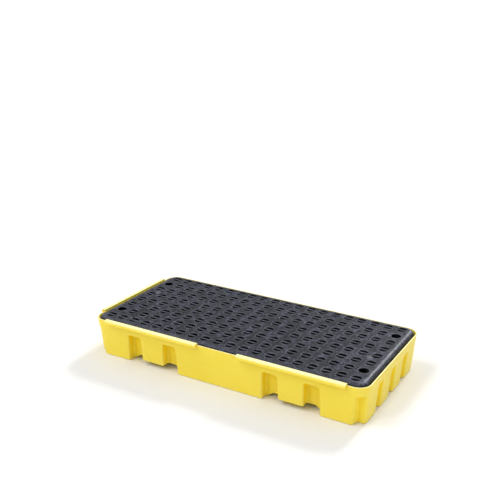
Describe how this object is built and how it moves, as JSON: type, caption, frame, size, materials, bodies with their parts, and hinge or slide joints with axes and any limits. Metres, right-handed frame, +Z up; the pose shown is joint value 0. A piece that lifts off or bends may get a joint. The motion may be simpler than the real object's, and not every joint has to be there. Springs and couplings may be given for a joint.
{
  "type": "spill containment pallet",
  "caption": "Low rectangular spill tray with recessed side walls and hook lips on two rims, covered by a lift-out perforated deck for standing drums on.",
  "frame": {"origin": "bottom centre of the whole pallet's box, hook lips included, on the floor", "axes": "+Z up; +X along the long side; -Y towards the front, the long side with two hook lips; the single end lip is at -X"},
  "size_m": [1.294, 0.626, 0.175],
  "materials": {
    "tray_plastic": "satin moulded polyethylene",
    "deck_plastic": "satin moulded polyethylene with a fine grain"
  },
  "bodies": {
    "tray": {"sump_tray": "tray_plastic"},
    "deck": {"deck_grate": "deck_plastic"}
  },
  "joints": [
    {"name": "deck_lift", "type": "slide", "parent": "tray", "child": "deck", "axis": [0, 0, 1], "range_m": [0, 0.25]}
  ]
}
